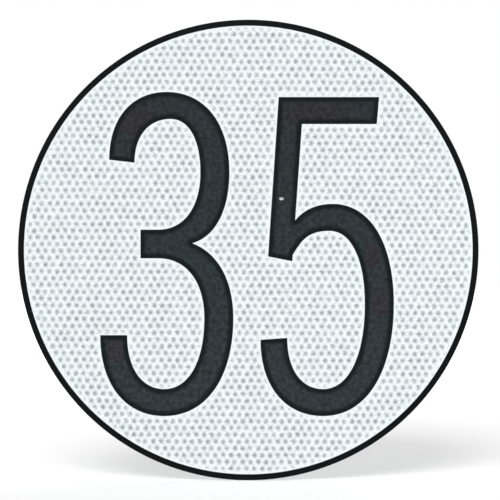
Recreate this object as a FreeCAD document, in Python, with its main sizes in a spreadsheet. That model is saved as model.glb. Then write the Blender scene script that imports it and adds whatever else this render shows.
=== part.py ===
import FreeCAD, Part
import os
import re
import Sketcher

# A round speed limit sign for a vehicle, with the figures 35.
# It stands upright and is read from -Y, with +X to the right and +Z up.
# The origin is the centre of its flat back face.

# Sizes in millimetres. Roundness alone has no unit.
# A figure's widths are taken from its left edge and its heights from the baseline.
SIZES = {
    # The disc and its layers
    "plate_diameter": 200,
    "plate_thickness": 1.5,
    "plate_edge_break": 0.3,
    "sheeting_thickness": 0.4,
    "film_thickness": 0.1,
    "border_width": 2.6,
    # What both figures share
    "baseline_drop": 72.1,
    "crown_stroke": 11.7,
    "flank_stroke": 12.6,
    "roundness": 0.61,
    # The figure three
    "three_offset": 64.3,
    "three_height": 140.7,
    "three_crown_place": 28.8,
    "three_crown_inner_place": 30.6,
    "three_upper_width": 56.1,
    "three_upper_flank": 105.9,
    "three_lip_place": 3.9,
    "three_lip_height": 111.3,
    "three_lip_width": 11.0,
    "three_lip_slant": 1.3,
    "three_waist_left": 17.5,
    "three_waist_height": 68.5,
    "three_waist_stroke": 12.4,
    "three_waist_inner": 25.2,
    "three_notch_upper_place": 35.1,
    "three_notch_upper_rise": 5.9,
    "three_notch_lower_place": 30.4,
    "three_notch_lower_drop": 4.2,
    "three_lower_width": 57.8,
    "three_lower_flank": 42.5,
    "three_base_place": 27.8,
    "three_tail_height": 35.1,
    "three_tail_width": 11.7,
    # The figure five
    "five_offset": 5.3,
    "five_height": 138.5,
    "five_bar_left": 7.9,
    "five_bar_length": 43.6,
    "five_bar_slant": 1.0,
    "five_stem_width": 10.1,
    "five_foot_left": 3.3,
    "five_foot_height": 69.3,
    "five_foot_width": 10.5,
    "five_foot_slant": 2.1,
    "five_root_inset": 2.8,
    "five_root_rise": 4.5,
    "five_inner_inset": 0.6,
    "five_inner_lift": 1.5,
    "five_inner_run": 4.3,
    "five_inner_rise": 6.9,
    "five_bowl_height": 92.1,
    "five_bowl_place": 31.4,
    "five_bowl_inner_place": 30.0,
    "five_bowl_width": 57.9,
    "five_bowl_flank": 48.7,
    "five_base_place": 27.2,
    "five_tail_height": 33.9,
    "five_tail_width": 11.6,
    "five_tail_slant": 0.8,
    # The chip in the stem of the five
    "chip_inset": 5.8,
    "chip_height": 94.4,
    "chip_width": 2.0,
    "chip_rise": 1.4,
}

# Points of sketch geometry: the start and end of an edge, the centre of a circle
START, END, CENTRE = range(1, 4)
# The sketch's origin is the start of its first axis
ORIGIN = -1, START


def fill_sheet(doc):
    sheet = doc.addObject("Spreadsheet::Sheet", "Sizes")
    for row, (name, value) in enumerate(SIZES.items(), start=1):
        sheet.set(f"A{row}", name)
        sheet.set(f"B{row}", str(value))
        sheet.setAlias(f"B{row}", name)
    doc.recompute()


def sized(formula):
    """Turn a formula in the names of the sizes into one that reads the sheet."""
    return re.sub("[a-z][a-z_]+", r"Sizes.\g<0>", formula)


def new_body(doc, label):
    body = doc.addObject("PartDesign::Body", label)
    body.Label = label
    return body


def new_sketch(body, name):
    """Start a sketch in the upright plane of a body, seen from its front."""
    sketch = body.newObject("Sketcher::SketchObject", name)
    for feature in body.Origin.OriginFeatures:
        if feature.Role == "XZ_Plane":
            sketch.AttachmentSupport = [(feature, "")]
    sketch.MapMode = "FlatFace"
    return sketch


def pad(body, sketch, thickness):
    """Thicken a sketch towards the front."""
    feature = body.newObject("PartDesign::Pad", sketch.Name + "Pad")
    feature.Profile = sketch
    feature.setExpression("Length", sized(thickness))
    feature.Refine = True
    sketch.Document.recompute()
    return feature


def draw_circle(sketch, diameter):
    radius = sketch.evalExpression(sized(diameter)) / 2
    circle = Part.Circle(FreeCAD.Vector(0, 0, 0), FreeCAD.Vector(0, 0, 1), radius)
    edge = sketch.addGeometry(circle)
    sketch.addConstraint(Sketcher.Constraint("Coincident", edge, CENTRE, *ORIGIN))
    index = sketch.addConstraint(Sketcher.Constraint("Diameter", edge, 2 * radius))
    sketch.setExpression(f"Constraints[{index}]", sized(diameter))


def pin(sketch, edge, point, place):
    """Fix a point of a sketch by the formulas of its x and z."""
    for kind, formula in zip(("DistanceX", "DistanceY"), place):
        value = sketch.evalExpression(sized(formula))
        index = sketch.addConstraint(Sketcher.Constraint(kind, *ORIGIN, edge, point, value))
        sketch.setExpression(f"Constraints[{index}]", sized(formula))


def located(sketch, place):
    x, z = [sketch.evalExpression(sized(formula)) for formula in place]
    return FreeCAD.Vector(x, z, 0)


def reach(start, end):
    """The formula of a control point that lies the roundness of the way from start to end."""
    return f"({start}) + roundness * (({end}) - ({start}))"


def draw_curve(sketch, start, end, arrives):
    """Draw a curve that arrives upright, level, or leaning by the run and rise of its handle."""
    if arrives == "upright":
        controls = (reach(start[0], end[0]), start[1]), (end[0], reach(end[1], start[1]))
    elif arrives == "level":
        controls = (start[0], reach(start[1], end[1])), (reach(end[0], start[0]), end[1])
    else:
        run, rise = arrives
        controls = (reach(start[0], end[0]), start[1]), (f"{end[0]} + {run}", f"{end[1]} + {rise}")
    poles = [located(sketch, place) for place in (start, *controls, end)]
    edge = sketch.addGeometry(Part.BSplineCurve(poles, None, None, False, 3, None, False))
    sketch.exposeInternalGeometry(edge)
    first_inner_pole = edge + 2
    for step, place in enumerate(controls):
        pin(sketch, first_inner_pole + step, CENTRE, place)
    return edge


def draw_outline(sketch, corners):
    """Close a loop of edges. Each corner says how its edge arrives there, and its x and z."""
    edges = []
    start = corners[-1][1:]
    for arrives, *end in corners:
        if arrives == "straight":
            edge = sketch.addGeometry(Part.LineSegment(located(sketch, start), located(sketch, end)))
        else:
            edge = draw_curve(sketch, start, end, arrives)
        pin(sketch, edge, END, end)
        edges.append(edge)
        start = end
    for before, after in zip([edges[-1]] + edges, edges):
        sketch.addConstraint(Sketcher.Constraint("Coincident", before, END, after, START))


def rim_edge(shape, depth):
    """Find the circular edge of a disc that lies at this depth along Y."""
    for number, edge in enumerate(shape.Edges, start=1):
        box = edge.BoundBox
        if abs(box.YMin - depth) < 1e-6 and abs(box.YMax - depth) < 1e-6:
            return f"Edge{number}"
    raise RuntimeError("the disc has no edge at that depth")


# The layers lie on each other from the back to the front
SHEETING_BACK = "-plate_thickness"
FILM_BACK = "-(plate_thickness + sheeting_thickness)"


def make_backing_plate(doc):
    """Blanked aluminium disc, with its back edge broken."""
    body = new_body(doc, "backing_plate")
    sketch = new_sketch(body, "PlateOutline")
    draw_circle(sketch, "plate_diameter")
    disc = pad(body, sketch, "plate_thickness")
    edge_break = body.newObject("PartDesign::Chamfer", "BackEdgeBreak")
    edge_break.Base = (disc, [rim_edge(disc.Shape, 0)])
    edge_break.setExpression("Size", sized("plate_edge_break"))
    return body


def make_sheeting(doc):
    """White retroreflective sheeting, cut flush with the plate."""
    body = new_body(doc, "retroreflective_sheeting")
    sketch = new_sketch(body, "SheetingOutline")
    draw_circle(sketch, "plate_diameter")
    pad(body, sketch, "sheeting_thickness")
    body.setExpression("Placement.Base.y", sized(SHEETING_BACK))
    return body


def make_border_ring(doc):
    """Black border along the very edge of the disc."""
    body = new_body(doc, "border_ring")
    sketch = new_sketch(body, "BorderOutline")
    draw_circle(sketch, "plate_diameter")
    draw_circle(sketch, "plate_diameter - 2 * border_width")
    pad(body, sketch, "film_thickness")
    body.setExpression("Placement.Base.y", sized(FILM_BACK))
    return body


def place_figure(body, left):
    body.setExpression("Placement.Base.x", sized(left))
    body.setExpression("Placement.Base.y", sized(FILM_BACK))
    body.setExpression("Placement.Base.z", sized("-baseline_drop"))


def make_three(doc):
    """The three is two hooks that share the bar of its waist, and its notch is where they cross."""
    body = new_body(doc, "figure_three")
    waist_top = "three_waist_height + three_waist_stroke"
    upper = new_sketch(body, "UpperHook")
    draw_outline(upper, [
        ("straight", "three_notch_upper_place", "three_waist_height + three_notch_upper_rise"),
        ("upright", "three_upper_width", "three_upper_flank"),
        ("level", "three_crown_place", "three_height"),
        ("upright", "three_lip_place", "three_lip_height"),
        ("straight", "three_lip_place + three_lip_width", "three_lip_height - three_lip_slant"),
        ("level", "three_crown_inner_place", "three_height - crown_stroke"),
        ("upright", "three_upper_width - flank_stroke", "three_upper_flank"),
        ("level", "three_waist_inner", waist_top),
        ("straight", "three_waist_left", waist_top),
        ("straight", "three_waist_left", "three_waist_height"),
    ])
    pad(body, upper, "film_thickness")
    lower = new_sketch(body, "LowerHook")
    draw_outline(lower, [
        ("straight", "three_waist_left", waist_top),
        ("straight", "three_waist_left", "three_waist_height"),
        ("straight", "three_waist_inner", "three_waist_height"),
        ("upright", "three_lower_width - flank_stroke", "three_lower_flank"),
        ("level", "three_base_place", "crown_stroke"),
        ("upright", "three_tail_width", "three_tail_height"),
        ("straight", "0", "three_tail_height"),
        ("level", "three_base_place", "0"),
        ("upright", "three_lower_width", "three_lower_flank"),
        ("level", "three_notch_lower_place", waist_top + " - three_notch_lower_drop"),
    ])
    pad(body, lower, "film_thickness")
    place_figure(body, "-three_offset")
    return body


def make_five(doc):
    """The five is a flag with a leaning stem, and a bowl that grows from inside the stem's foot."""
    body = new_body(doc, "figure_five")
    bar_right = "five_bar_left + five_bar_length"
    bar_bottom = "five_height - crown_stroke"
    foot_right = "five_foot_left + five_foot_width"
    foot_bottom = "five_foot_height - five_foot_slant"
    flag = new_sketch(body, "Flag")
    draw_outline(flag, [
        ("straight", "five_bar_left", "five_height"),
        ("straight", bar_right, "five_height"),
        ("straight", bar_right + " - five_bar_slant", bar_bottom),
        ("straight", "five_bar_left + five_stem_width", bar_bottom),
        ("straight", foot_right, foot_bottom),
        ("straight", "five_foot_left", "five_foot_height"),
    ])
    pad(body, flag, "film_thickness")
    bowl = new_sketch(body, "Bowl")
    draw_outline(bowl, [
        ("straight", foot_right + " - five_root_inset", foot_bottom + " + five_root_rise"),
        ("level", "five_bowl_place", "five_bowl_height"),
        ("upright", "five_bowl_width", "five_bowl_flank"),
        ("level", "five_base_place", "0"),
        ("upright", "0", "five_tail_height - five_tail_slant"),
        ("straight", "five_tail_width", "five_tail_height"),
        ("level", "five_base_place", "crown_stroke"),
        ("upright", "five_bowl_width - flank_stroke", "five_bowl_flank"),
        ("level", "five_bowl_inner_place", "five_bowl_height - crown_stroke"),
        (("five_inner_run", "five_inner_rise"),
         foot_right + " - five_inner_inset", foot_bottom + " + five_inner_lift"),
    ])
    whole = pad(body, bowl, "film_thickness")
    cut_chip(body, whole)
    place_figure(body, "five_offset")
    return body


def cut_chip(body, whole):
    """Cut the small oval chip that shows the sheeting through the stem of the five."""
    middle = "five_foot_left + chip_inset"
    chip = new_sketch(body, "Chip")
    draw_outline(chip, [
        ("upright", middle + " - chip_width / 2", "chip_height"),
        ("level", middle, "chip_height + chip_rise / 2"),
        ("upright", middle + " + chip_width / 2", "chip_height"),
        ("level", middle, "chip_height - chip_rise / 2"),
    ])
    pocket = body.newObject("PartDesign::Pocket", "ChipPocket")
    pocket.Profile = chip
    pocket.Type = "ThroughAll"
    pocket.Midplane = True
    body.Document.recompute()
    if pocket.Shape.Volume >= whole.Shape.Volume:
        raise RuntimeError("the chip cuts nothing")


def export(doc, bodies):
    """Check that everything was built, then write one file for each piece."""
    doc.recompute()
    for item in doc.Objects:
        if "Invalid" in item.State or "Error" in item.State:
            raise RuntimeError(f"{item.Label} was not built")
    for body in bodies:
        if body.Shape.isNull() or not body.Shape.isValid():
            raise RuntimeError(f"{body.Label} has no valid shape")
    os.makedirs("parts", exist_ok=True)
    for body in bodies:
        body.Shape.exportStep(f"parts/{body.Label}.step")
        print(body.Label, len(body.Shape.Solids), round(body.Shape.Volume, 2), body.Shape.BoundBox)


document = FreeCAD.newDocument("SpeedLimitSign")
fill_sheet(document)
export(document, [
    make_backing_plate(document),
    make_sheeting(document),
    make_border_ring(document),
    make_three(document),
    make_five(document),
])
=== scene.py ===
import math

import bmesh
import bpy
import numpy as np
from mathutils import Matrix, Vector
from mathutils.geometry import delaunay_2d_cdt


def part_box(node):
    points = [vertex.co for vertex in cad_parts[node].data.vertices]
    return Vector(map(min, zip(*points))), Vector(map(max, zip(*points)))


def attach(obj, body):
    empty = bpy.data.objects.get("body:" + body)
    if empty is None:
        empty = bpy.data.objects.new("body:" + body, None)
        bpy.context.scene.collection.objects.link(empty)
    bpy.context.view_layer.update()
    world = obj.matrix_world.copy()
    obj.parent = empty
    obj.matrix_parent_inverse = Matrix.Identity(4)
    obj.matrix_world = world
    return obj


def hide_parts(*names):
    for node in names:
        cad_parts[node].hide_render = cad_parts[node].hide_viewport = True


# A round speed limit sign, 200 mm across, which stands upright and is read from -Y.
# From the back to the front it is an aluminium disc, white retroreflective sheeting,
# and black film for the border and the two figures.

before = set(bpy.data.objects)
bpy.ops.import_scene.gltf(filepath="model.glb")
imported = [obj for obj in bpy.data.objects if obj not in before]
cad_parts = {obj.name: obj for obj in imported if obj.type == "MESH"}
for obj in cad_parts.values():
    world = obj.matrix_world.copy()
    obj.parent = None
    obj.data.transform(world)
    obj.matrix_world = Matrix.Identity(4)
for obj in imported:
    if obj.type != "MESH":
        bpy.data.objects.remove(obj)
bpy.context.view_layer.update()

MM = 0.001

# Points nearer than this are one point, in a shape that is read and in a layer that is cut
SAME_POINT = MM / 1000
SAME_CORNER = MM / 10000
SHARP_ANGLE = math.radians(30)

# A place times this keeps its x and z, and loses its depth
FLAT = (1, 0, 1)

# Where the layers lie, read from the frame
plate_low, plate_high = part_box("backing_plate")
sheeting_low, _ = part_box("retroreflective_sheeting")
film_low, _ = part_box("border_ring")
BACK = plate_high.y
PLATE_FRONT = plate_low.y
SHEETING_FRONT = sheeting_low.y
FILM_FRONT = film_low.y
RIM_RADIUS = min(-plate_low.x, plate_high.x, -plate_low.z, plate_high.z)
RIM_SIDES = 360
EDGE_BREAK = 0.3 * MM

# The cells of the sheeting lie in rows that fall a little to the right, and every other row
# is shifted by half a pitch. The columns lean to the right by a share of their height.
CELL_PITCH = 3.38 * MM
ROW_PITCH = 2.946 * MM
LATTICE_PLACE = (-0.148 * MM, 0, -0.708 * MM)
LATTICE_TURN = math.radians(0.19)
LATTICE_LEAN = 0.0037

# A cell is darkest at its middle and fades out over the spread. No two are quite alike.
SHEETING_WHITE = "#F0F7FA"
CELL_GREY = "#8E979A"
CELL_SPREAD = 1.08 * MM
CELL_FALLOFF = 2.2
CELL_SQUEEZE = 0.93
CELL_WANDER = 0.33 * MM
CELL_RAGGED = 1.3 * MM
CELL_FAINTEST = 0.76

# Towards a cut edge of the film the cells fade away over this distance
CELL_FADE = 2.15 * MM

# The sheeting's glass beads are about 0.1 mm across. Their grain is drawn nine times as coarse
# as real so that it shows, and greys the white where its noise is above the lower level.
BEAD_GRAIN = 0.9 * MM
BEAD_LEVELS = 0.46, 0.75
BEAD_GREY = 0.28

# Each cell also stands up as a low pillow. Its foot is sunk in the sheeting.
PILLOW_RADIUS = 1.6 * MM
PILLOW_HEIGHT = 0.06 * MM
PILLOW_SUNK = 0.02 * MM
PILLOW_SMALLEST = 0.9
PILLOW_SIDES = 12
PILLOW_RINGS = 3
PILLOW_SEED = 7

# Triangles of the sheeting are this large, and fine ones lie this close to the films
COARSE_SPACING = 4 * MM
COARSE_FROM = 5 * MM
FINE_SPACING = 1.1 * MM
FINE_UP_TO = 4 * MM

# A flake of film has come off the five. The sheeting bared there is drawn grey, greyest towards the
# top, where 1 is the grey of a cell's middle.
CHIP_X, CHIP_Z = 14.4 * MM, 22.3 * MM
CHIP_REACH = 1.6 * MM
CHIP_BOTTOM, CHIP_TOP = 21.5 * MM, 23.1 * MM
CHIP_GREY_BOTTOM, CHIP_GREY_TOP = 0.2, 1.2

# The film is deepest black along its cut edges. The border is all edge, and blacker still.
FILM_BLACK = "#283033"
FILM_EDGE_BLACK = "#091316"
BORDER_BLACK = "#010506"
FILM_EDGE_DARK = 1.4 * MM
FILM_EDGE_CLEAR = 2.8 * MM
FILM_SPACING = 0.7 * MM

# The soft patches where the black has turned a little warm, by x, z, half width and half
# height in mm. The core is the share of a patch that is evenly warm.
WARM_BLACK = "#2C2B31"
WARM_CORE = 0.55
WARM_PATCHES = ((-49, 56, 10, 9), (30, 58, 20, 8), (53.5, -3, 5, 7), (58, -23, 7, 7),
                (-57.5, -44, 6, 7))

# The film's mottle is well under a millimetre. It is drawn several times as coarse as real so
# that it shows. As its noise goes between the levels, the colour is taken times the tones.
MOTTLE = 2.0 * MM
MOTTLE_LEVELS = 0.25, 0.75
MOTTLE_TONES = 0.35, 1.65

# From its top to its bottom the film is painted slightly paler, a painted reflection of the bright
# floor below.
FILM_TOP, FILM_BOTTOM = 68 * MM, -72 * MM
TONE_TOP, TONE_BOTTOM = 0.88, 1.11

# Rolling leaves a fine straight grain and faint wide bands on the aluminium. The grain is drawn
# five times as coarse as real so that it shows.
ALUMINIUM_DARK = "#9A9EA1"
ALUMINIUM_LIGHT = "#C3C6C8"
ROLLED_LENGTH, ROLLED_WIDTH = 90 * MM, 0.5 * MM
BAND_LENGTH, BAND_WIDTH = 2500 * MM, 6 * MM
BAND_SHARE = 0.35
ROLLED_TONES = 0.4, 0.95
ROLLED_ROUGHNESS = 0.26, 0.46

# Blanking shears the front of the rim bright and tears the rest, from this depth on
RIM_SKIN = 0.05 * MM
TORN_FROM, TORN_WHOLLY = 0.5 * MM, 0.7 * MM
TORN_ROUGHER = 0.22
TORN_GRIT = 0.15 * MM
GRIT_HEIGHT = 3
BUMP_HEIGHT = 0.01 * MM
BUMP_STRENGTH = 0.7


def linear(colour):
    """Turn an sRGB hex colour into the linear colour that a socket takes."""
    parts = [int(colour[i:i + 2], 16) / 255 for i in (1, 3, 5)]
    return [p / 12.92 if p <= 0.04045 else ((p + 0.055) / 1.055) ** 2.4 for p in parts] + [1]


def node(tree, kind, inputs=None, **settings):
    """Add a node with its settings. An input is a value, an output, or a node, which gives
    its first output in use."""
    made = tree.nodes.new(kind)
    for name, value in settings.items():
        setattr(made, name, value)
    for socket, value in (inputs or {}).items():
        if isinstance(value, bpy.types.Node):
            value = next(output for output in value.outputs if output.enabled)
        if isinstance(value, bpy.types.NodeSocket):
            tree.links.new(value, made.inputs[socket])
        else:
            made.inputs[socket].default_value = value
    return made


MATH = "ShaderNodeMath"
VECTOR = "ShaderNodeVectorMath"
RANGE = "ShaderNodeMapRange"
MIX = "ShaderNodeMix"
NOISE = "ShaderNodeTexNoise"
MAPPING = "ShaderNodeMapping"
SEPARATE = "ShaderNodeSeparateXYZ"
COMBINE = "ShaderNodeCombineXYZ"
ATTRIBUTE = "ShaderNodeAttribute"


def new_material(name, settings, build):
    """Make a material: plain shader settings, and a function that gives its linked inputs."""
    material = bpy.data.materials.new(name)
    material.use_nodes = True
    tree = material.node_tree
    shader = tree.nodes["Principled BSDF"]
    for socket, value in settings.items():
        shader.inputs[socket].default_value = value
    where = node(tree, "ShaderNodeTexCoord").outputs["Object"]
    for socket, made in build(tree, where).items():
        output = next(output for output in made.outputs if output.enabled)
        tree.links.new(output, shader.inputs[socket])
    return material


def cells_of_a_row_set(tree, place, shift):
    """How deep in a cell a place is, for every other row: 0 between the cells, 1 in a dark one."""
    block = (CELL_PITCH, 1, 2 * ROW_PITCH)
    half_block = [side / 2 for side in block]
    first_corner = Vector(shift) - Vector(half_block)
    moved = node(tree, VECTOR, {0: place, 1: first_corner}, operation="SUBTRACT")
    corner = node(tree, VECTOR, {0: moved, 1: block}, operation="SNAP")
    chance = node(tree, "ShaderNodeTexWhiteNoise",
                  {"Vector": node(tree, VECTOR, {0: corner, 1: first_corner}, operation="ADD")})
    wander = node(tree, VECTOR,
                  {0: chance.outputs["Color"], 1: (CELL_WANDER,) * 3,
                   2: [side - CELL_WANDER / 2 for side in half_block]}, operation="MULTIPLY_ADD")
    middle = node(tree, VECTOR, {0: corner, 1: wander}, operation="ADD")
    away = node(tree, VECTOR, {0: moved, 1: middle}, operation="SUBTRACT")
    squeezed = node(tree, VECTOR, {0: away, 1: (1, 0, CELL_SQUEEZE)}, operation="MULTIPLY")
    distance = node(tree, VECTOR, {0: squeezed}, operation="LENGTH")
    share = node(tree, MATH, {0: distance, 1: CELL_SPREAD}, operation="DIVIDE")
    power = node(tree, MATH, {0: share, 1: CELL_FALLOFF}, operation="POWER")
    falloff = node(tree, MATH, {0: node(tree, MATH, {0: power, 1: -1}, operation="MULTIPLY")},
                   operation="EXPONENT")
    depth = node(tree, RANGE, {"Value": chance.outputs["Value"], "To Min": CELL_FAINTEST})
    return node(tree, MATH, {0: falloff, 1: depth}, operation="MULTIPLY")


def sheeting_nodes(tree, where):
    """Soft grey cells on cool white, ragged at their edges."""
    ragged = node(tree, NOISE, {"Vector": where, "Scale": 1 / BEAD_GRAIN, "Detail": 1})
    bent = node(tree, VECTOR, {0: ragged.outputs["Color"], 1: (CELL_RAGGED,) * 3, 2: where},
                operation="MULTIPLY_ADD")
    centred = node(tree, VECTOR, {0: bent, 1: (CELL_RAGGED / 2,) * 3}, operation="SUBTRACT")
    lattice = node(tree, MAPPING, {
        "Vector": centred, "Location": LATTICE_PLACE, "Rotation": (0, LATTICE_TURN, 0)},
        vector_type="TEXTURE")
    height = node(tree, SEPARATE, {0: lattice}).outputs["Z"]
    unleaned = node(tree, VECTOR, {0: height, 1: (-LATTICE_LEAN, 0, 0), 2: lattice},
                    operation="MULTIPLY_ADD")
    flat = node(tree, VECTOR, {0: unleaned, 1: FLAT}, operation="MULTIPLY")
    cells = node(tree, MATH, {
        0: cells_of_a_row_set(tree, flat, (0, 0, 0)),
        1: cells_of_a_row_set(tree, flat, (CELL_PITCH / 2, 0, ROW_PITCH))}, operation="ADD")
    from_film = node(tree, ATTRIBUTE, attribute_name="film_distance").outputs["Fac"]
    beside_film = node(tree, RANGE, {"Value": from_film, "From Max": CELL_FADE})
    grey = node(tree, MATH, {0: cells, 1: beside_film}, operation="MULTIPLY")

    from_chip = node(tree, VECTOR, {0: where, 1: (CHIP_X, 0, CHIP_Z)}, operation="SUBTRACT")
    chip_flat = node(tree, VECTOR, {0: from_chip, 1: FLAT}, operation="MULTIPLY")
    in_chip = node(tree, MATH, {
        0: node(tree, VECTOR, {0: chip_flat}, operation="LENGTH"),
        1: CHIP_REACH}, operation="LESS_THAN")
    # The chip is drawn greyer towards its top.
    chip_grey = node(tree, RANGE, {
        "Value": node(tree, SEPARATE, {0: where}).outputs["Z"],
        "From Min": CHIP_BOTTOM, "From Max": CHIP_TOP,
        "To Min": CHIP_GREY_BOTTOM, "To Max": CHIP_GREY_TOP})
    chip_grey_mark = node(tree, MATH, {0: in_chip, 1: chip_grey}, operation="MULTIPLY")
    marked = node(tree, MATH, {0: grey, 1: chip_grey_mark}, operation="MAXIMUM")

    lowest, highest = BEAD_LEVELS
    beads = node(tree, RANGE, {
        "Value": ragged, "From Min": lowest, "From Max": highest, "To Max": BEAD_GREY})
    uneven = node(tree, MATH, {0: marked, 1: beads}, operation="ADD")
    return {"Base Color": node(tree, MIX, {
        "Factor": uneven, "A": linear(SHEETING_WHITE), "B": linear(CELL_GREY)}, data_type="RGBA")}


def film_nodes(tree, where):
    """A soft cool black with a mottle, deepest along its cut edges, and paler towards its bottom by
    a painted reflection of the floor.
    """
    warmth = None
    for x, z, wide, high in WARM_PATCHES:
        place = node(tree, MAPPING, {
            "Vector": where, "Location": (x * MM, 0, z * MM), "Scale": (wide * MM, 1, high * MM)},
            vector_type="TEXTURE")
        flat = node(tree, VECTOR, {0: place, 1: FLAT}, operation="MULTIPLY")
        patch = node(tree, RANGE, {
            "Value": node(tree, VECTOR, {0: flat}, operation="LENGTH"),
            "From Min": WARM_CORE, "To Min": 1, "To Max": 0}, interpolation_type="SMOOTHSTEP")
        warmth = node(tree, MATH, {0: warmth, 1: patch}, operation="MAXIMUM") if warmth else patch
    inner = node(tree, MIX, {
        "Factor": warmth, "A": linear(FILM_BLACK), "B": linear(WARM_BLACK)}, data_type="RGBA")

    from_edge = node(tree, RANGE, {
        "Value": node(tree, ATTRIBUTE, attribute_name="edge_distance").outputs["Fac"],
        "From Min": FILM_EDGE_DARK, "From Max": FILM_EDGE_CLEAR})
    figure = node(tree, MIX, {
        "Factor": from_edge, "A": linear(FILM_EDGE_BLACK), "B": inner}, data_type="RGBA")
    narrow = node(tree, ATTRIBUTE, attribute_name="narrow_film").outputs["Fac"]
    colour = node(tree, MIX, {
        "Factor": narrow, "A": figure, "B": linear(BORDER_BLACK)}, data_type="RGBA")

    mottle = node(tree, NOISE, {
        "Vector": where, "Scale": 1 / MOTTLE, "Detail": 3, "Roughness": 0.6})
    lowest, highest = MOTTLE_LEVELS
    darkest, lightest = MOTTLE_TONES
    level = node(tree, RANGE, {
        "Value": mottle.outputs["Fac"], "From Min": lowest, "From Max": highest,
        "To Min": darkest, "To Max": lightest})
    # Painted reflection of the bright floor: the film is drawn paler towards its bottom.
    painted_floor_reflection = node(tree, RANGE, {
        "Value": node(tree, SEPARATE, {0: where}).outputs["Z"],
        "From Min": FILM_TOP, "From Max": FILM_BOTTOM, "To Min": TONE_TOP, "To Max": TONE_BOTTOM})
    tone = node(tree, MATH, {0: level, 1: painted_floor_reflection}, operation="MULTIPLY")
    return {"Base Color": node(tree, VECTOR, {0: colour, "Scale": tone}, operation="SCALE")}


def aluminium_nodes(tree, where):
    """Straight rolling grain on the back, and a sheared rim: a bright band, then a torn one."""
    drawn_out = node(tree, MAPPING, {
        "Vector": where, "Scale": (1 / ROLLED_LENGTH, 1 / ROLLED_WIDTH, 1 / ROLLED_WIDTH)})
    grain = node(tree, NOISE, {"Vector": drawn_out, "Scale": 1, "Detail": 4, "Roughness": 0.7})
    rolled = node(tree, MAPPING, {
        "Vector": where, "Scale": (1 / BAND_LENGTH, 1 / BAND_WIDTH, 1 / BAND_WIDTH)})
    bands = node(tree, NOISE, {"Vector": rolled, "Scale": 1, "Detail": 2})
    both = node(tree, MATH, {0: bands, 1: BAND_SHARE, 2: grain}, operation="MULTIPLY_ADD")
    darkest, lightest = ROLLED_TONES
    tone = node(tree, RANGE, {"Value": both, "From Min": darkest, "From Max": lightest})
    colour = node(tree, MIX, {
        "Factor": tone, "A": linear(ALUMINIUM_DARK), "B": linear(ALUMINIUM_LIGHT)},
        data_type="RGBA")

    across = node(tree, VECTOR, {0: where, 1: FLAT}, operation="MULTIPLY")
    on_rim = node(tree, MATH, {
        0: node(tree, VECTOR, {0: across}, operation="LENGTH"),
        1: RIM_RADIUS - RIM_SKIN}, operation="GREATER_THAN")
    depth = node(tree, SEPARATE, {0: where}).outputs["Y"]
    torn = node(tree, RANGE, {
        "Value": depth, "From Min": PLATE_FRONT + TORN_FROM, "From Max": PLATE_FRONT + TORN_WHOLLY})
    torn_rim = node(tree, MATH, {0: torn, 1: on_rim}, operation="MULTIPLY")

    smoothest, roughest = ROLLED_ROUGHNESS
    rough = node(tree, RANGE, {"Value": grain, "To Min": smoothest, "To Max": roughest})
    rougher = node(tree, MATH, {0: torn_rim, 1: TORN_ROUGHER, 2: rough}, operation="MULTIPLY_ADD")
    grit = node(tree, NOISE, {"Vector": where, "Scale": 1 / TORN_GRIT, "Detail": 2})
    torn_grit = node(tree, MATH, {0: grit, 1: torn_rim}, operation="MULTIPLY")
    height = node(tree, MATH, {0: torn_grit, 1: GRIT_HEIGHT, 2: grain}, operation="MULTIPLY_ADD")
    bump = node(tree, "ShaderNodeBump", {
        "Height": height, "Distance": BUMP_HEIGHT, "Strength": BUMP_STRENGTH})
    return {"Base Color": colour, "Roughness": rougher, "Normal": bump}


# Retroreflective sheeting, glass beads sealed in small cells under an acrylic cover film.
# The eye sees cool white with soft grey spots, and a satin gloss.
white_sheeting = new_material("white_retroreflective_sheeting",
                              {"Roughness": 0.35, "IOR": 1.49}, sheeting_nodes)

# Cast vinyl film, knife cut and pressed flat. The eye sees a dull cool black.
black_film = new_material("black_cast_vinyl_film",
                          {"Roughness": 0.5, "Specular IOR Level": 0.08}, film_nodes)

# Cold-rolled aluminium sheet with its mill finish, blanked to a disc. The eye sees a bright
# satin grey with a fine straight grain.
mill_aluminium = new_material("mill_finish_aluminium", {"Metallic": 1}, aluminium_nodes)


def new_piece(name, mesh):
    """Put a mesh in the scene, flat faces flat and round ones smooth."""
    if mesh.polygons:
        mesh.polygons.foreach_set("use_smooth", [True] * len(mesh.polygons))
        mesh.set_sharp_from_angle(angle=SHARP_ANGLE)
    piece = bpy.data.objects.new(name, mesh)
    bpy.context.scene.collection.objects.link(piece)
    return piece


def front_outline(cad_node):
    """The (x, z) points round a film's front face, and the pairs of them that edges join."""
    mesh = bmesh.new()
    mesh.from_mesh(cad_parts[cad_node].data)
    bmesh.ops.remove_doubles(mesh, verts=mesh.verts, dist=SAME_POINT)
    points, numbers, pairs = [], {}, []
    for edge in mesh.edges:
        # The outline is where the front face meets a wall, which stands square to it
        in_front = all(abs(v.co.y - FILM_FRONT) < SAME_POINT for v in edge.verts)
        if in_front and any(abs(face.normal.y) < 0.5 for face in edge.link_faces):
            for v in edge.verts:
                if v.index not in numbers:
                    numbers[v.index] = len(points)
                    points.append((v.co.x, v.co.z))
            pairs.append([numbers[v.index] for v in edge.verts])
    mesh.free()
    return np.array(points), np.array(pairs)


def outer_edges(outline):
    """An outline without the small loop round the chip."""
    points, pairs = outline
    from_chip = np.hypot(*(points[pairs[:, 0]] - (CHIP_X, CHIP_Z)).T)
    return points, pairs[from_chip > CHIP_REACH]


def circle(radius):
    """A round outline, as front_outline gives one."""
    turn = np.arange(RIM_SIDES) * 2 * math.pi / RIM_SIDES
    numbers = np.arange(RIM_SIDES)
    points = radius * np.column_stack([np.cos(turn), np.sin(turn)])
    return points, np.column_stack([numbers, (numbers + 1) % RIM_SIDES])


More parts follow.
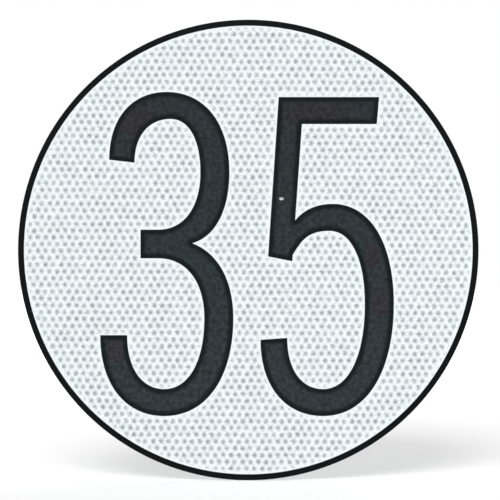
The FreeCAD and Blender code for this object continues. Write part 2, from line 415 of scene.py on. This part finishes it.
def distances(places, outline):
    """How far each place is from the nearest edge of an outline."""
    points, pairs = outline
    starts = points[pairs[:, 0]]
    along = points[pairs[:, 1]] - starts
    away = places[:, None] - starts
    share = (away * along).sum(2) / (along ** 2).sum(1)
    nearest = np.clip(share, 0, 1)[..., None] * along
    return np.sqrt(((away - nearest) ** 2).sum(2)).min(1)


def inside(places, outline):
    """Whether each place is within an outline, by how many of its edges lie to the right."""
    points, pairs = outline
    starts, ends = points[pairs[:, 0]], points[pairs[:, 1]]
    x, z = places[:, :1], places[:, 1:]
    spans = (starts[:, 1] > z) != (ends[:, 1] > z)
    rise = np.where(spans, ends[:, 1] - starts[:, 1], 1)
    crossing = starts[:, 0] + (z - starts[:, 1]) * (ends[:, 0] - starts[:, 0]) / rise
    return (spans & (crossing > x)).sum(1) % 2 == 1


def spread_points(outline, spacing):
    """Points in even staggered rows inside an outline, none of them close to its edges."""
    low, high = outline[0].min(0), outline[0].max(0)
    rows = np.arange(low[1], high[1], spacing * math.sqrt(3) / 2)
    columns = np.arange(low[0], high[0], spacing)
    places = np.array([(x + spacing / 2 * (number % 2), z)
                       for number, z in enumerate(rows) for x in columns])
    places = places[inside(places, outline)]
    return places[distances(places, outline) > spacing / 2]


def cut_layer(name, outline, spread, front, back, finish, attribute, measure):
    """Lay a flat layer in fine triangles, with one measured value kept at each point."""
    points, pairs = outline
    every = [Vector(place) for place in np.vstack([points, spread])]
    edges = [tuple(map(int, pair)) for pair in pairs]
    only_within_edges = 1
    flat, _, triangles, *_ = delaunay_2d_cdt(every, edges, [], only_within_edges, SAME_CORNER)
    flat = np.array([tuple(place) for place in flat])
    triangles = np.array(triangles)
    triangles = triangles[inside(flat[triangles].mean(1), outline)]
    count = len(flat)
    faces = [[int(i) for i in corners] for corners in triangles]
    sides = {(a, b) for corners in faces for a, b in zip(corners, corners[1:] + corners[:1])}
    walls = [(b, a, a + count, b + count) for a, b in sorted(sides) if (b, a) not in sides]
    rear = [[i + count for i in reversed(corners)] for corners in faces]
    mesh = bpy.data.meshes.new(name)
    mesh.from_pydata([(x, front, z) for x, z in flat] + [(x, back, z) for x, z in flat], [],
                     faces + rear + walls)
    mesh.materials.append(finish)
    kept = mesh.attributes.new(attribute, "FLOAT", "POINT")
    kept.data.foreach_set("value", np.tile(measure(flat), 2))
    return new_piece(name, mesh)


def new_tree(name, sockets):
    """Start a Geometry Nodes tree with these inputs and a mesh output."""
    tree = bpy.data.node_groups.new(name, "GeometryNodeTree")
    for socket, kind in sockets.items():
        tree.interface.new_socket(socket, in_out="INPUT", socket_type="NodeSocket" + kind)
    tree.interface.new_socket("Geometry", in_out="OUTPUT", socket_type="NodeSocketGeometry")
    return tree, node(tree, "NodeGroupInput").outputs


def close_tree(tree, geometry, finish):
    """End a tree in one realized mesh with its material."""
    solid = node(tree, "GeometryNodeRealizeInstances", {0: geometry})
    finished = node(tree, "GeometryNodeSetMaterial", {"Geometry": solid, "Material": finish})
    node(tree, "NodeGroupOutput", {0: finished})


def grow(name, tree, values):
    """Run a tree on an empty piece and keep its result as a plain mesh."""
    grown = bpy.data.objects.new(name, bpy.data.meshes.new(name))
    bpy.context.scene.collection.objects.link(grown)
    modifier = grown.modifiers.new("grow", "NODES")
    modifier.node_group = tree
    for socket in tree.interface.items_tree:
        if socket.in_out == "INPUT":
            modifier[socket.identifier] = values[socket.name]
    depsgraph = bpy.context.evaluated_depsgraph_get()
    mesh = bpy.data.meshes.new_from_object(
        grown.evaluated_get(depsgraph), preserve_all_data_layers=True, depsgraph=depsgraph)
    bpy.data.objects.remove(grown)
    return new_piece(name, mesh)


def disc_tree():
    """A disc with its back edge broken, laid flat from its front towards +Y."""
    tree, given = new_tree("blanked_disc", {
        "Radius": "Float", "Thickness": "Float", "Edge Break": "Float", "Front": "Float",
        "Sides": "Int", "Finish": "Material"})
    # Its points lie in three rings, at the back, the middle and the front of the thickness.
    # The back ring shrinks by the edge break, and the middle one moves to where it starts.
    disc = node(tree, "GeometryNodeMeshCylinder", {
        "Vertices": given["Sides"], "Side Segments": 2, "Radius": given["Radius"],
        "Depth": given["Thickness"]}, fill_type="NGON")
    place = node(tree, "GeometryNodeInputPosition")
    height = node(tree, SEPARATE, {0: place}).outputs["Z"]
    half = node(tree, MATH, {0: given["Thickness"], 1: 0.5}, operation="MULTIPLY")
    lowest = node(tree, MATH, {0: half, 1: -1}, operation="MULTIPLY")
    share = node(tree, MATH, {0: height, 1: given["Thickness"]}, operation="DIVIDE")
    is_back = node(tree, MATH, {0: share, 1: -0.25}, operation="LESS_THAN")
    is_middle = node(tree, MATH, {0: share, 1: 0, 2: 0.25}, operation="COMPARE")
    shrunk = node(tree, MATH, {0: given["Edge Break"], 1: given["Radius"]}, operation="DIVIDE")
    back_scale = node(tree, MATH, {
        0: 1, 1: node(tree, MATH, {0: shrunk, 1: is_back}, operation="MULTIPLY")},
        operation="SUBTRACT")
    flat = node(tree, VECTOR, {0: place, 1: (1, 1, 0)}, operation="MULTIPLY")
    narrowed = node(tree, VECTOR, {0: flat, "Scale": back_scale}, operation="SCALE")
    break_height = node(tree, MATH, {0: lowest, 1: given["Edge Break"]}, operation="ADD")
    kept_height = node(tree, MIX, {"Factor": is_middle, "A": height, "B": break_height})
    upwards = node(tree, COMBINE, {"Z": kept_height})
    broken = node(tree, "GeometryNodeSetPosition", {
        "Geometry": disc,
        "Position": node(tree, VECTOR, {0: narrowed, 1: upwards}, operation="ADD")})
    middle = node(tree, MATH, {0: given["Front"], 1: half}, operation="ADD")
    upright = node(tree, "GeometryNodeTransform", {
        "Geometry": broken, "Translation": node(tree, COMBINE, {"Y": middle}),
        "Rotation": (math.pi / 2, 0, 0)})
    close_tree(tree, upright, given["Finish"])
    return tree


def border_tree():
    """A flat ring of film, laid from its front towards +Y and marked as narrow film."""
    tree, given = new_tree("film_border", {
        "Outer Radius": "Float", "Width": "Float", "Thickness": "Float", "Front": "Float",
        "Sides": "Int", "Finish": "Material"})
    half = node(tree, MATH, {0: given["Width"], 1: 0.5}, operation="MULTIPLY")
    path = node(tree, "GeometryNodeCurvePrimitiveCircle", {
        "Resolution": given["Sides"],
        "Radius": node(tree, MATH, {0: given["Outer Radius"], 1: half}, operation="SUBTRACT")})
    strip = node(tree, "GeometryNodeCurvePrimitiveQuadrilateral",
                 {"Width": given["Width"], "Height": given["Thickness"]})
    ring = node(tree, "GeometryNodeCurveToMesh", {"Curve": path, "Profile Curve": strip})
    marked = node(tree, "GeometryNodeStoreNamedAttribute",
                  {"Geometry": ring, "Name": "narrow_film", "Value": 1.0})
    half_thick = node(tree, MATH, {0: given["Thickness"], 1: 0.5}, operation="MULTIPLY")
    middle = node(tree, MATH, {0: given["Front"], 1: half_thick}, operation="ADD")
    upright = node(tree, "GeometryNodeTransform", {
        "Geometry": marked, "Translation": node(tree, COMBINE, {"Y": middle}),
        "Rotation": (math.pi / 2, 0, 0)})
    close_tree(tree, upright, given["Finish"])
    return tree


def cells_tree():
    """A low round pillow over each cell of the sheeting that no film covers."""
    tree, given = new_tree("sheeting_cells", {
        "Pitch": "Float", "Row Pitch": "Float", "Place": "Vector", "Turn": "Float", "Lean": "Float",
        "Cell Radius": "Float", "Rise": "Float", "Sunk": "Float", "Field Radius": "Float",
        "Face": "Float", "Seed": "Int", "Films": "Collection", "Finish": "Material"})

    # A grid with room for every cell, its odd rows shifted, set upright on the sheeting
    across = node(tree, MATH, {
        0: node(tree, MATH, {0: given["Field Radius"], 1: given["Pitch"]}, operation="DIVIDE")},
        operation="CEIL")
    up = node(tree, MATH, {
        0: node(tree, MATH, {0: given["Field Radius"], 1: given["Row Pitch"]}, operation="DIVIDE")},
        operation="CEIL")
    wide = node(tree, MATH, {0: across, 1: 2}, operation="MULTIPLY")
    high = node(tree, MATH, {0: up, 1: 2}, operation="MULTIPLY")
    grid = node(tree, "GeometryNodeMeshGrid", {
        "Size X": node(tree, MATH, {0: wide, 1: given["Pitch"]}, operation="MULTIPLY"),
        "Size Y": node(tree, MATH, {0: high, 1: given["Row Pitch"]}, operation="MULTIPLY"),
        "Vertices X": node(tree, MATH, {0: wide, 1: 1}, operation="ADD"),
        "Vertices Y": node(tree, MATH, {0: high, 1: 1}, operation="ADD")})
    place = node(tree, "GeometryNodeInputPosition")
    row_height = node(tree, SEPARATE, {0: place}).outputs["Y"]
    row = node(tree, MATH, {0: row_height, 1: given["Row Pitch"]}, operation="DIVIDE")
    odd = node(tree, MATH, {0: node(tree, MATH, {0: row}, operation="ROUND"), 1: 2},
               operation="FLOORED_MODULO")
    half_pitch = node(tree, MATH, {0: given["Pitch"], 1: 0.5}, operation="MULTIPLY")
    lean = node(tree, MATH, {0: row_height, 1: given["Lean"]}, operation="MULTIPLY")
    shift = node(tree, MATH, {0: odd, 1: half_pitch, 2: lean}, operation="MULTIPLY_ADD")
    staggered = node(tree, "GeometryNodeSetPosition", {
        "Geometry": grid, "Offset": node(tree, COMBINE, {"X": shift})})
    at_face = node(tree, VECTOR, {
        0: given["Place"], 1: node(tree, COMBINE, {"Y": given["Face"]})}, operation="ADD")
    upright = node(tree, "GeometryNodeTransform", {
        "Geometry": staggered, "Translation": at_face,
        "Rotation": node(tree, COMBINE, {"X": math.pi / 2, "Y": given["Turn"]})})

    # No cell lies under the border or a figure. Proximity looks past instances, so the films
    # are realized first.
    from_middle = node(tree, VECTOR, {0: place, 1: FLAT}, operation="MULTIPLY")
    beyond = node(tree, MATH, {
        0: node(tree, VECTOR, {0: from_middle}, operation="LENGTH"),
        1: given["Field Radius"]}, operation="GREATER_THAN")
    films = node(tree, "GeometryNodeCollectionInfo", {"Collection": given["Films"]})
    laid = node(tree, "GeometryNodeRealizeInstances", {0: films})
    from_film = node(tree, "GeometryNodeProximity", {0: laid}).outputs["Distance"]
    covered = node(tree, MATH, {0: from_film, 1: given["Rise"]}, operation="LESS_THAN")
    kept = node(tree, "GeometryNodeDeleteGeometry", {
        "Geometry": upright,
        "Selection": node(tree, MATH, {0: beyond, 1: covered}, operation="MAXIMUM")})

    # A cone whose height falls with the square of the distance from its middle is a pillow
    cone = node(tree, "GeometryNodeMeshCone", {
        "Vertices": PILLOW_SIDES, "Side Segments": PILLOW_RINGS,
        "Radius Bottom": given["Cell Radius"], "Depth": given["Rise"]}, fill_type="NGON")
    flat = node(tree, VECTOR, {0: place, 1: (1, 1, 0)}, operation="MULTIPLY")
    share = node(tree, MATH, {
        0: node(tree, VECTOR, {0: flat}, operation="LENGTH"),
        1: given["Cell Radius"]}, operation="DIVIDE")
    fall = node(tree, MATH, {
        0: node(tree, MATH, {0: share, 1: 2}, operation="POWER"), 1: given["Rise"]},
        operation="MULTIPLY")
    top = node(tree, MATH, {0: given["Rise"], 1: given["Sunk"]}, operation="SUBTRACT")
    height = node(tree, MATH, {0: top, 1: fall}, operation="SUBTRACT")
    pillow = node(tree, "GeometryNodeSetPosition", {
        "Geometry": cone,
        "Position": node(tree, VECTOR, {0: flat, 1: node(tree, COMBINE, {"Z": height})},
                         operation="ADD")})
    size = node(tree, "FunctionNodeRandomValue",
                {"Min": PILLOW_SMALLEST, "Max": 1.0, "Seed": given["Seed"]}, data_type="FLOAT")
    set_out = node(tree, "GeometryNodeInstanceOnPoints", {
        "Points": kept, "Instance": pillow, "Rotation": (math.pi / 2, 0, 0), "Scale": size})
    plain = node(tree, "GeometryNodeRealizeInstances", {0: set_out})
    measured = node(tree, "GeometryNodeStoreNamedAttribute",
                    {"Geometry": plain, "Name": "film_distance", "Value": from_film})
    close_tree(tree, measured, given["Finish"])
    return tree


# The films, cut and laid
film_pieces = []
outlines = []
for name, cad_node in (("film_three", "figure_three"), ("film_five", "figure_five")):
    outline = front_outline(cad_node)
    outlines.append(outline)
    film_pieces.append(cut_layer(
        name, outline, spread_points(outline, FILM_SPACING), FILM_FRONT, SHEETING_FRONT,
        black_film, "edge_distance", lambda places: distances(places, outer_edges(outline))))

ring_points = front_outline("border_ring")[0]
BORDER_INSIDE = np.hypot(*ring_points.T).min()
film_pieces.append(grow("film_border", border_tree(), {
    "Outer Radius": RIM_RADIUS, "Width": RIM_RADIUS - BORDER_INSIDE,
    "Thickness": SHEETING_FRONT - FILM_FRONT, "Front": FILM_FRONT, "Sides": RIM_SIDES,
    "Finish": black_film}))
outlines.append(circle(BORDER_INSIDE))


def film_distance(places):
    """How far each place is from the nearest cut edge of a film."""
    return np.minimum.reduce([distances(places, outline) for outline in outlines])


# The sheeting, in finer triangles beside the films, where its cells fade
rim = circle(RIM_RADIUS)
fine, coarse = spread_points(rim, FINE_SPACING), spread_points(rim, COARSE_SPACING)
spread = np.vstack([fine[film_distance(fine) < FINE_UP_TO],
                    coarse[film_distance(coarse) > COARSE_FROM]])
sheeting = cut_layer("sheeting_face", rim, spread, SHEETING_FRONT, PLATE_FRONT, white_sheeting,
                     "film_distance", film_distance)

films = bpy.data.collections.new("films")
for piece in film_pieces:
    films.objects.link(piece)
cells = grow("lens_cells", cells_tree(), {
    "Pitch": CELL_PITCH, "Row Pitch": ROW_PITCH, "Place": LATTICE_PLACE, "Turn": LATTICE_TURN,
    "Lean": LATTICE_LEAN, "Cell Radius": PILLOW_RADIUS, "Rise": PILLOW_HEIGHT,
    "Sunk": PILLOW_SUNK, "Field Radius": BORDER_INSIDE, "Face": SHEETING_FRONT,
    "Seed": PILLOW_SEED, "Films": films, "Finish": white_sheeting})

plate = grow("aluminium_disc", disc_tree(), {
    "Radius": RIM_RADIUS, "Thickness": BACK - PLATE_FRONT, "Edge Break": EDGE_BREAK,
    "Front": PLATE_FRONT, "Sides": RIM_SIDES, "Finish": mill_aluminium})

three, five, border = film_pieces
for piece, stands_for, finish in (
        (plate, "backing_plate", "aluminium_plate"),
        (sheeting, "retroreflective_sheeting", "white_sheeting"),
        (cells, None, "white_sheeting"),
        (border, "border_ring", "black_film"),
        (three, "figure_three", "black_film"),
        (five, "figure_five", "black_film")):
    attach(piece, "root")
    if stands_for:
        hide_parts(stands_for)

# The camera looks straight at the face. The frame is 500 pixels wide, and the disc's middle
# lies a little to its left.
FRAME_PIXELS = 500
DISC_PIXELS = 460.7
DISC_MIDDLE = (248.29, 249.97)
PIXEL = 200 * MM / DISC_PIXELS
LENS, SENSOR = 135, 36
camera_data = bpy.data.cameras.new("camera")
camera_data.sensor_width = SENSOR
camera_data.lens = LENS
camera = bpy.data.objects.new("camera", camera_data)
camera.location = ((FRAME_PIXELS / 2 - DISC_MIDDLE[0]) * PIXEL,
                   FILM_FRONT - FRAME_PIXELS * PIXEL * LENS / SENSOR,
                   (DISC_MIDDLE[1] - FRAME_PIXELS / 2) * PIXEL)
camera.rotation_euler = (math.pi / 2, 0, 0)
bpy.context.scene.collection.objects.link(camera)
bpy.context.scene.camera = camera

# The floor's own light, in metres from the sign and as a share of full white
FLOOR_RADIUS = 4
FLOOR_NEAR, FLOOR_FAR = 0.3, 1.4
LIFT_NEAR, LIFT_FAR = 0.24, 0.7
ROOM_LIGHT = 0.46


def background_share(tree):
    """1 for what the camera or a reflection looks at, and 0 for the light that falls on things."""
    path = node(tree, "ShaderNodeLightPath").outputs
    seen = node(tree, MATH, {0: path["Is Camera Ray"], 1: path["Is Glossy Ray"]},
                operation="MAXIMUM")
    return node(tree, MATH, {0: seen, 1: path["Is Transmission Ray"]}, operation="MAXIMUM")


def floor_nodes(tree, where):
    """The floor is seen as white, and round the sign it keeps the soft shadow."""
    away = node(tree, VECTOR, {0: where}, operation="LENGTH")
    lift = node(tree, RANGE, {"Value": away, "From Min": FLOOR_NEAR, "From Max": FLOOR_FAR,
                              "To Min": LIFT_NEAR, "To Max": LIFT_FAR})
    return {"Emission Strength": node(tree, MATH, {0: background_share(tree), 1: lift},
                                      operation="MULTIPLY")}


# Painted board, matt. The eye sees plain white.
white_board = new_material("white_painted_board", {
    "Base Color": linear("#EDEDED"), "Roughness": 0.9, "Specular IOR Level": 0.2,
    "Emission Color": (1, 1, 1, 1)}, floor_nodes)
floor_edge, _ = circle(FLOOR_RADIUS)
floor_mesh = bpy.data.meshes.new("floor")
floor_mesh.from_pydata([(x, y, plate_low.z) for x, y in floor_edge], [], [range(RIM_SIDES)])
floor_mesh.materials.append(white_board)
new_piece("floor", floor_mesh)

studio = bpy.data.worlds.new("white_studio")
studio.use_nodes = True
bpy.context.scene.world = studio
backdrop = studio.node_tree.nodes["Background"]
backdrop.inputs["Color"].default_value = (1, 1, 1, 1)
level = node(studio.node_tree, RANGE, {
    "Value": background_share(studio.node_tree), "To Min": ROOM_LIGHT})
studio.node_tree.links.new(level.outputs[0], backdrop.inputs["Strength"])

# The key is far off and wide, so that the face is lit evenly from its top to its bottom.
# The fill stands at the right, and the last lamp lights the back.
for name, kind, settings, place in (
        ("key", "SUN", {"energy": 1.82, "angle": math.radians(28)}, (-0.4, -1.7, 1.3)),
        ("fill", "AREA", {"energy": 3, "size": 0.5}, (1.1, -1.5, 0.2)),
        ("back", "AREA", {"energy": 7, "size": 1.4}, (0.9, 1.5, 1.0))):
    light = bpy.data.lights.new(name, kind)
    for setting, value in settings.items():
        setattr(light, setting, value)
    lamp = bpy.data.objects.new(name, light)
    lamp.location = place
    lamp.rotation_euler = Vector(place).to_track_quat("Z", "Y").to_euler()
    bpy.context.scene.collection.objects.link(lamp)

bpy.context.scene.view_settings.view_transform = "Standard"
